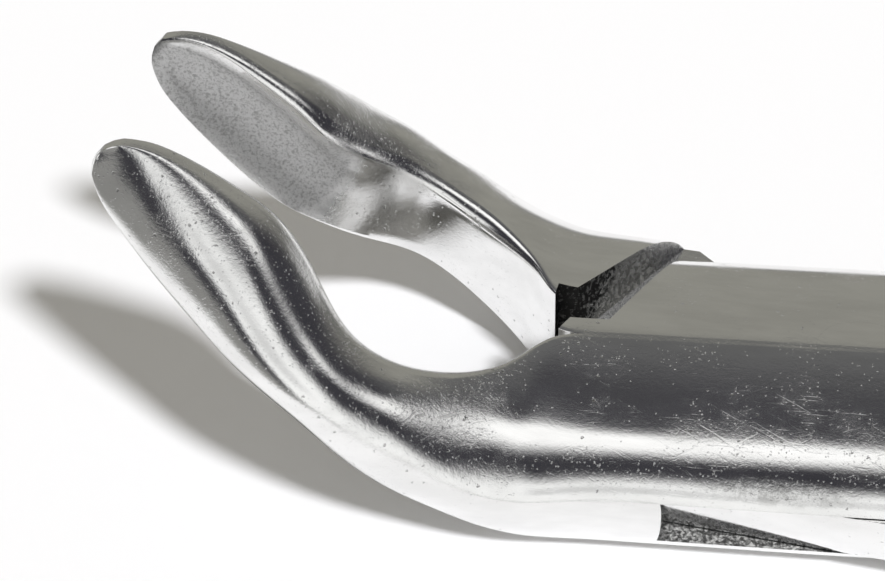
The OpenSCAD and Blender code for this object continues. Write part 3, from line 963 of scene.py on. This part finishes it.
class ForcepsShape(bpy.types.PropertyGroup):
    """Fineness and small parts."""
    fineness: bpy.props.FloatProperty(
        name="Fineness", description="Rings of the surface per millimetre", min=1, max=8, default=3.5)
    grip_count: bpy.props.IntProperty(
        name="Grooves", description="Cross grooves in each grip", min=0, max=20, default=14)
    grip_pitch: bpy.props.FloatProperty(
        name="Groove spacing", description="Spacing of the grooves in millimetres", min=2.6, max=4,
        default=3.4)
    grip_depth: bpy.props.FloatProperty(
        name="Groove depth", description="Depth of the grooves in millimetres", min=0.3, max=0.7, default=0.5)
    pin_d: bpy.props.FloatProperty(
        name="Pin", description="Diameter of the joint pin in millimetres", min=4, max=6, default=5.0)


class StudioLook(bpy.types.PropertyGroup):
    """Floor and light."""
    floor_color: bpy.props.FloatVectorProperty(
        name="Floor", description="Colour of the floor", subtype="COLOR", size=3, min=0, max=1,
        default=(0.98, 0.98, 0.98))
    # Painted shade: the floor away from the object as the steel mirrors it; the camera sees the floor plain.
    far_floor_shade: bpy.props.FloatVectorProperty(
        name="Far floor", description="Colour of the floor away from the object", subtype="COLOR", size=3,
        min=0, max=1, default=(0.26, 0.26, 0.25))
    key_power: bpy.props.FloatProperty(
        name="Key light", description="Strength of the light that casts the shadows", min=0, max=10,
        default=2.95)
    fill_power: bpy.props.FloatProperty(
        name="Fill light", description="Strength of the even light that opens the shadows", min=0, max=10,
        default=0.95)
    key_height: bpy.props.FloatProperty(
        name="Key height", description="Height of the key light above the horizon", subtype="ANGLE",
        default=math.radians(50))
    key_side: bpy.props.FloatProperty(
        name="Key side", description="Turn of the key light from the near side toward the handles",
        subtype="ANGLE", default=math.radians(48))
    roof_glow: bpy.props.FloatProperty(
        name="Overhead glow", description="Brightness of the wide light overhead", min=0, max=5, default=1.15)
    window_glow: bpy.props.FloatProperty(
        name="Window glow", description="Brightness of the wide light on the near side", min=0, max=5,
        default=1.0)
    wall_color: bpy.props.FloatVectorProperty(
        name="Far wall", description="Colour of the room behind the object", subtype="COLOR", size=3, min=0,
        max=1, default=(0.285, 0.28, 0.25))
    dusk_color: bpy.props.FloatVectorProperty(
        name="Upper far wall", description="Colour of the room above the far wall", subtype="COLOR", size=3,
        min=0, max=1, default=(0.13, 0.13, 0.13))
    room_color: bpy.props.FloatVectorProperty(
        name="Room", description="Colour of the rest of the room", subtype="COLOR", size=3, min=0, max=1,
        default=(0.042, 0.041, 0.048))


class FORCEPS_OT_finishes(bpy.types.Operator):
    """Make the steel finishes"""
    bl_idname = "forceps.finishes"
    bl_label = "Finishes"

    def execute(self, context):
        marks = marks_group()
        look = context.scene.forceps_look
        steel("Worn steel", look, marks, False)
        steel("Roughened steel", look, marks, True)
        return {"FINISHED"}


class FORCEPS_OT_box_half(bpy.types.Operator):
    """Make the half whose slotted box the other half passes through"""
    bl_idname = "forceps.box_half"
    bl_label = "Box half"

    def execute(self, context):
        shape = context.scene.forceps_shape
        near = loft("box_half_body", 0, JOINT_END, shape.fineness, mirrored=True)
        combine(near, half_turn(prism("rear_end", plate_end())), "DIFFERENCE")
        far = loft("handle", JOINT_START, LAST_ROW, shape.fineness)
        combine(far, prism("front_end", plate_end()), "DIFFERENCE")
        combine(far, grip_cuts(shape.grip_count, shape.grip_pitch, shape.grip_depth), "DIFFERENCE")
        combine(near, far, "UNION")
        slot = prism("slot", slot_outline(0), SLOT_Z - SLOT_H / 2, SLOT_Z + SLOT_H / 2)
        combine(near, slot, "DIFFERENCE")
        combine(near, round_bar("bore", shape.pin_d / 2), "DIFFERENCE")
        near.name = "box_half_piece"
        finish_piece(near, REST_OPEN)
        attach(near, "box_body")
        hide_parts("box_half")
        return {"FINISHED"}


class FORCEPS_OT_tongue_half(bpy.types.Operator):
    """Make the half whose tongue passes through the box"""
    bl_idname = "forceps.tongue_half"
    bl_label = "Tongue half"

    def execute(self, context):
        shape = context.scene.forceps_shape
        neck = loft("tongue_half_body", 0, JOINT_END - LAP_ROWS, shape.fineness)
        for cutter in neck_cut():
            combine(neck, cutter, "DIFFERENCE")
        grip = loft("grip", JOINT_START + LAP_ROWS, LAST_ROW, shape.fineness)
        combine(grip, grip_cuts(shape.grip_count, shape.grip_pitch, shape.grip_depth), "DIFFERENCE")
        flip_y(grip)
        for cutter in neck_cut():
            combine(grip, half_turn(cutter), "DIFFERENCE")
        tongue = loft("tongue", JOINT_START, JOINT_END, shape.fineness)
        other_side = loft("tongue_near", JOINT_START, JOINT_END, shape.fineness, mirrored=True)
        combine(tongue, other_side, "UNION")
        half_h = SLOT_H / 2 - TONGUE_GAP
        slab = prism("slab", slot_outline(END_GAP), SLOT_Z - half_h, SLOT_Z + half_h)
        combine(tongue, slab, "INTERSECT")
        sweep = round_bar("sweep", TURN_R)
        side = RELIEF_W + RELIEF_SPARE
        block = [(-CUT_BLOCK, side), (0, side), (0, CUT_BESIDE), (-CUT_BLOCK, CUT_BESIDE)]
        combine(sweep, prism("front", block), "UNION")
        combine(sweep, half_turn(prism("rear", block)), "UNION")
        combine(tongue, sweep, "INTERSECT")
        combine(tongue, prism("flush_side", FLUSH_SIDE), "DIFFERENCE")
        combine(neck, tongue, "UNION")
        combine(neck, grip, "UNION")
        combine(neck, round_bar("bore", shape.pin_d / 2 + PIN_GAP), "DIFFERENCE")
        neck.name = "tongue_half_piece"
        finish_piece(neck, -REST_OPEN)
        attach(neck, "tongue_body")
        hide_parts("tongue_half")
        return {"FINISHED"}


class FORCEPS_OT_joint_pin(bpy.types.Operator):
    """Make the rivet, ground flush with the box"""
    bl_idname = "forceps.joint_pin"
    bl_label = "Joint pin"

    def execute(self, context):
        shape = context.scene.forceps_shape
        plates = loft("joint_pin_body", JOINT_START, JOINT_END, shape.fineness)
        combine(plates, loft("near", JOINT_START, JOINT_END, shape.fineness, mirrored=True), "UNION")
        combine(plates, round_bar("bar", shape.pin_d / 2 - PIN_INSET), "INTERSECT")
        plates.name = "joint_pin_piece"
        finish_piece(plates, REST_OPEN)
        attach(plates, "box_body")
        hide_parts("joint_pin")
        return {"FINISHED"}


# The floor, in metres. The steel mirrors it greyer, as painted shade, past four fades, which are turned about
# the pin by degrees, and darker in a painted shadow in a spot under the near beak, given in millimetres.
FLOOR_R = 6.0
FLOOR_SIDES = 96
FLOOR_TURN = 15
FLOOR_LEFT = (-0.072, -0.057)
FLOOR_RIGHT = (0.18, 0.35)
FLOOR_BACK = (0.066, 0.12)
FLOOR_FRONT = (-0.3, -0.12)
PAINTED_SHADOW_SPOT = ((-31.5, -5.0, 0), (11, 7, 9))
# Widths of the lights in degrees, and their colours.
KEY_WIDTH = 7
KEY_COLOR = (0.99, 0.995, 1.03)
FILL_WIDTH = 168
FILL_COLOR = (1, 0.965, 0.88)
# The room that the steel mirrors. Turns run in degrees from the near horizon over the top to the far one.
ROOM_TURN = 118
DUSK_TURNS = (127, 136)
WALL_TURN = 143
WALL_FADE = (0.42, 0.78)
ROOF_TURNS = (80, 97, 106, 116)
ROOF_SIDES = (-0.6, -0.35, 0.66, 0.92)
ROOF_TINT = (1, 0.995, 0.985)
# The window on the near side, with sides and heights in degrees. Its left edge moves outward higher up.
WINDOW_LEAN_HEIGHT = (8, 18)
WINDOW_LEAN = 24
WINDOW_LEFT = (-14, -1)
WINDOW_RIGHT = (34, 56)
WINDOW_TOP = (38, 63)
WINDOW_TINT = (1, 1, 0.99)
# A dimmer bar across it.
BAR_HEIGHTS = (19, 25, 33, 39)
BAR_ENDS = (-30, -18, 12, 26)
BAR_DIM = 0.3
# The camera: width and focal length of the photograph in pixels, its middle, the angles in degrees, and
# a point of the joint in millimetres with its place in the photograph. Its nearest and farthest sight is in
# metres.
PHOTO_W = 885
PHOTO_LENS = 1900
PHOTO_MID = (442.5, 290.5)
SENSOR_W = 36
EYE_YAW = -12.5
EYE_PITCH = 41
EYE_ROLL = -2.3
EYE_FAR = 100.0
ANCHOR = (-9.65, -10.2, 3.01)
ANCHOR_PLACE = (661, 526)
NEAREST = 0.001
FARTHEST = 50


class FORCEPS_OT_stage(bpy.types.Operator):
    """Make the floor, the light and the camera"""
    bl_idname = "forceps.stage"
    bl_label = "Studio"

    def band(self, tree, place, value, edges, unit):
        """1 between the two middle edges, 0 outside the outer two."""
        rise = range_node(tree, place, value, edges[0] * unit, edges[1] * unit)
        fall = range_node(tree, (place[0], place[1] - 150), value, edges[2] * unit, edges[3] * unit, 1, 0)
        return math_node(tree, (place[0] + 200, place[1]), "MULTIPLY", rise, fall)

    def fade(self, tree, place, value, edges, low=0.0, high=1.0):
        """A change from one value to another between two edges in degrees."""
        return range_node(tree, place, value, math.radians(edges[0]), math.radians(edges[1]), low, high)

    def soft_edge(self, tree, socket, studio):
        """A plain floor, mirrored in the steel with painted shade away from the object and under the near
        beak.
        """
        link = tree.links.new
        where = add_node(tree, "ShaderNodeTexCoord", (-1400, 0))
        place = add_node(tree, "ShaderNodeMapping", (-1200, 0), vector_type="TEXTURE")
        place.inputs["Rotation"].default_value = (0, 0, math.radians(FLOOR_TURN))
        link(where.outputs["Object"], place.inputs["Vector"])
        axis = add_node(tree, "ShaderNodeSeparateXYZ", (-1000, 0))
        link(place.outputs[0], axis.inputs[0])
        left = range_node(tree, (-700, 0), axis.outputs["X"], *FLOOR_LEFT, 1, 0)
        right = range_node(tree, (-700, -200), axis.outputs["X"], *FLOOR_RIGHT)
        back = range_node(tree, (-700, -400), axis.outputs["Y"], *FLOOR_BACK)
        front = range_node(tree, (-700, -600), axis.outputs["Y"], *FLOOR_FRONT, 1, 0)
        out = math_node(tree, (-300, 0), "MAXIMUM", math_node(tree, (-500, 0), "MAXIMUM", left, right),
                        math_node(tree, (-500, -400), "MAXIMUM", back, front))
        # Painted shadow: a darker spot under the near beak, seen only in the steel's reflection.
        painted_shadow = rubbed(tree, (-1200, 400), where.outputs["Object"], *PAINTED_SHADOW_SPOT)
        out = math_node(tree, (-200, 200), "MAXIMUM", out, painted_shadow)
        seen = add_node(tree, "ShaderNodeLightPath", (-300, -300)).outputs["Is Camera Ray"]
        mirrored = math_node(tree, (-200, -200), "SUBTRACT", 1.0, seen)
        out = math_node(tree, (-100, 0), "MULTIPLY", out, mirrored)
        color = mix_node(tree, (0, 0), out, (*studio.floor_color, 1), (*studio.far_floor_shade, 1))
        link(color, socket)

    def make_floor(self, studio):
        """A wide, plain floor under the resting plane."""
        bm = bmesh.new()
        bmesh.ops.create_circle(bm, cap_ends=True, segments=FLOOR_SIDES, radius=FLOOR_R)
        floor = mesh_object("floor", bm)
        mat = bpy.data.materials.new("Floor")
        mat.use_nodes = True
        shade = mat.node_tree.nodes["Principled BSDF"]
        self.soft_edge(mat.node_tree, shade.inputs["Base Color"], studio)
        shade.inputs["Roughness"].default_value = 1.0
        shade.inputs["Specular IOR Level"].default_value = 0.0
        floor.data.materials.append(mat)

    def sun(self, name, power, width, color):
        """A soft light that the steel doesn't mirror."""
        light = bpy.data.lights.new(name, "SUN")
        light.energy = power
        light.angle = math.radians(width)
        light.color = color
        lamp = bpy.data.objects.new(name, light)
        lamp.visible_glossy = False
        bpy.context.scene.collection.objects.link(lamp)
        return lamp

    def make_lights(self, studio):
        """A key light that casts the shadows, and an even one that opens them."""
        key = self.sun("Key", studio.key_power, KEY_WIDTH, KEY_COLOR)
        e, s = studio.key_height, studio.key_side
        toward = Vector((math.cos(e) * math.sin(s), -math.cos(e) * math.cos(s), math.sin(e)))
        key.rotation_euler = toward.to_track_quat("Z", "Y").to_euler()
        key.location = toward
        fill = self.sun("Fill", studio.fill_power, FILL_WIDTH, FILL_COLOR)
        fill.location = (0, 0, 1)

    def window(self, tree, side, high):
        """Where the window is, with a dimmer bar across it."""
        shift = self.fade(tree, (-700, 1200), high, WINDOW_LEAN_HEIGHT, 0, math.radians(WINDOW_LEAN))
        leaning = math_node(tree, (-500, 1200), "ADD", side, shift)
        left = self.fade(tree, (-400, 1300), leaning, WINDOW_LEFT)
        right = self.fade(tree, (-400, 1000), side, WINDOW_RIGHT, 1, 0)
        top = self.fade(tree, (-200, 1400), high, WINDOW_TOP, 1, 0)
        window = math_node(tree, (-100, 1200), "MULTIPLY", left, right)
        window = math_node(tree, (0, 1000), "MULTIPLY", window, top)
        bar = math_node(tree, (0, 1300), "MULTIPLY",
                        self.band(tree, (-200, 1600), high, BAR_HEIGHTS, math.radians(1)),
                        self.band(tree, (-200, 1900), side, BAR_ENDS, math.radians(1)))
        bar = math_node(tree, (100, 1300), "MULTIPLY", bar, BAR_DIM)
        bar = math_node(tree, (200, 1300), "SUBTRACT", 1.0, bar)
        return math_node(tree, (300, 1000), "MULTIPLY", window, bar)

    def make_world(self, scene, studio):
        """The room that the steel mirrors. It lights nothing else."""
        world = bpy.data.worlds.new("Studio")
        world.use_nodes = True
        scene.world = world
        tree = world.node_tree
        tree.nodes.clear()
        link = tree.links.new
        out = add_node(tree, "ShaderNodeOutputWorld", (1200, 0))
        glow = add_node(tree, "ShaderNodeBackground", (1000, 0))
        link(glow.outputs[0], out.inputs[0])
        where = add_node(tree, "ShaderNodeTexCoord", (-1500, 0))
        axis = add_node(tree, "ShaderNodeSeparateXYZ", (-1300, 0))
        link(where.outputs["Generated"], axis.inputs[0])
        x, z = axis.outputs["X"], axis.outputs["Z"]
        near = math_node(tree, (-1100, -100), "MULTIPLY", axis.outputs["Y"], -1.0)
        turn = math_node(tree, (-900, 0), "ARCTAN2", math_node(tree, (-1100, 100), "ABSOLUTE", z), near)
        turn = math_node(tree, (-700, 0), "DIVIDE", turn, math.pi)
        side = math_node(tree, (-900, 300), "ARCTAN2", x, near)
        high = math_node(tree, (-900, 500), "ARCSINE", z)
        ramp = add_node(tree, "ShaderNodeValToRGB", (-400, 0))
        ramp.color_ramp.interpolation = "EASE"
        stops = ramp.color_ramp.elements
        room = (*studio.room_color, 1)
        dusk = (*studio.dusk_color, 1)
        wall = (*studio.wall_color, 1)
        stops[0].position = 0.0
        stops[0].color = room
        stops[1].position = 1.0
        stops[1].color = wall
        dusk_start, dusk_end = DUSK_TURNS
        for angle, color in ((ROOM_TURN, room), (dusk_start, dusk), (dusk_end, dusk), (WALL_TURN, wall)):
            stops.new(angle / 180).color = color
        link(turn, ramp.inputs[0])
        roof = math_node(tree, (0, 400), "MULTIPLY", self.band(tree, (-400, 400), turn, ROOF_TURNS, 1 / 180),
                         self.band(tree, (-400, 700), x, ROOF_SIDES, 1))
        window = self.window(tree, side, high)
        end = range_node(tree, (-100, 0), x, *WALL_FADE)
        sky = mix_node(tree, (100, 0), end, ramp.outputs[0], room)
        lit = ((roof, studio.roof_glow, ROOF_TINT), (window, studio.window_glow, WINDOW_TINT))
        for k, (mask, level, tint) in enumerate(lit):
            color = (level * tint[0], level * tint[1], level * tint[2], 1)
            sky = mix_node(tree, (300 + 250 * k, 200), mask, sky, color)
        link(sky, glow.inputs["Color"])
        world.cycles_visibility.diffuse = False

    def make_camera(self, scene):
        """A camera that sees the forceps as the photograph does."""
        lens = bpy.data.cameras.new("Camera")
        lens.sensor_width = SENSOR_W
        lens.lens = PHOTO_LENS / PHOTO_W * SENSOR_W
        lens.clip_start = NEAREST
        lens.clip_end = FARTHEST
        eye = bpy.data.objects.new("Camera", lens)
        scene.collection.objects.link(eye)
        yaw, pitch, roll = math.radians(EYE_YAW), math.radians(EYE_PITCH), math.radians(EYE_ROLL)
        look = Vector((math.sin(yaw) * math.cos(pitch), math.cos(yaw) * math.cos(pitch), -math.sin(pitch)))
        level = Vector((math.cos(yaw), -math.sin(yaw), 0))
        up = level.cross(look)
        right_r = math.cos(roll) * level + math.sin(roll) * up
        up_r = -math.sin(roll) * level + math.cos(roll) * up
        pose = Matrix((right_r, up_r, -look)).transposed()
        off_x = (ANCHOR_PLACE[0] - PHOTO_MID[0]) / PHOTO_LENS * EYE_FAR
        off_y = (PHOTO_MID[1] - ANCHOR_PLACE[1]) / PHOTO_LENS * EYE_FAR
        spot = Vector(ANCHOR) - look * EYE_FAR - right_r * off_x - up_r * off_y
        eye.matrix_world = Matrix.Translation(spot * MM) @ pose.to_4x4()
        scene.camera = eye

    def execute(self, context):
        studio = context.scene.studio_look
        scene = context.scene
        self.make_floor(studio)
        self.make_lights(studio)
        self.make_world(scene, studio)
        scene.view_settings.view_transform = "Standard"
        self.make_camera(scene)
        return {"FINISHED"}


OPERATORS = (FORCEPS_OT_finishes, FORCEPS_OT_box_half, FORCEPS_OT_tongue_half, FORCEPS_OT_joint_pin,
             FORCEPS_OT_stage)


class FORCEPS_PT_sidebar(bpy.types.Panel):
    """Sizes and looks of the forceps"""
    bl_idname = "FORCEPS_PT_sidebar"
    bl_label = "Forceps"
    bl_space_type = "VIEW_3D"
    bl_region_type = "UI"
    bl_category = "Forceps"

    def draw(self, context):
        scene = context.scene
        for group in (scene.forceps_shape, scene.forceps_look, scene.studio_look):
            box = self.layout.box()
            for name in group.__annotations__:
                box.prop(group, name)
        for op in OPERATORS:
            self.layout.operator(op.bl_idname)


CLASSES = (ForcepsLook, ForcepsShape, StudioLook, *OPERATORS, FORCEPS_PT_sidebar)


def register():
    for cls in CLASSES:
        bpy.utils.register_class(cls)
    bpy.types.Scene.forceps_look = bpy.props.PointerProperty(type=ForcepsLook)
    bpy.types.Scene.forceps_shape = bpy.props.PointerProperty(type=ForcepsShape)
    bpy.types.Scene.studio_look = bpy.props.PointerProperty(type=StudioLook)


def unregister():
    del bpy.types.Scene.studio_look
    del bpy.types.Scene.forceps_shape
    del bpy.types.Scene.forceps_look
    for cls in reversed(CLASSES):
        bpy.utils.unregister_class(cls)


def main():
    register()
    bpy.ops.forceps.finishes()
    bpy.ops.forceps.box_half()
    bpy.ops.forceps.tongue_half()
    bpy.ops.forceps.joint_pin()
    bpy.ops.forceps.stage()


if __name__ == "__main__":
    main()
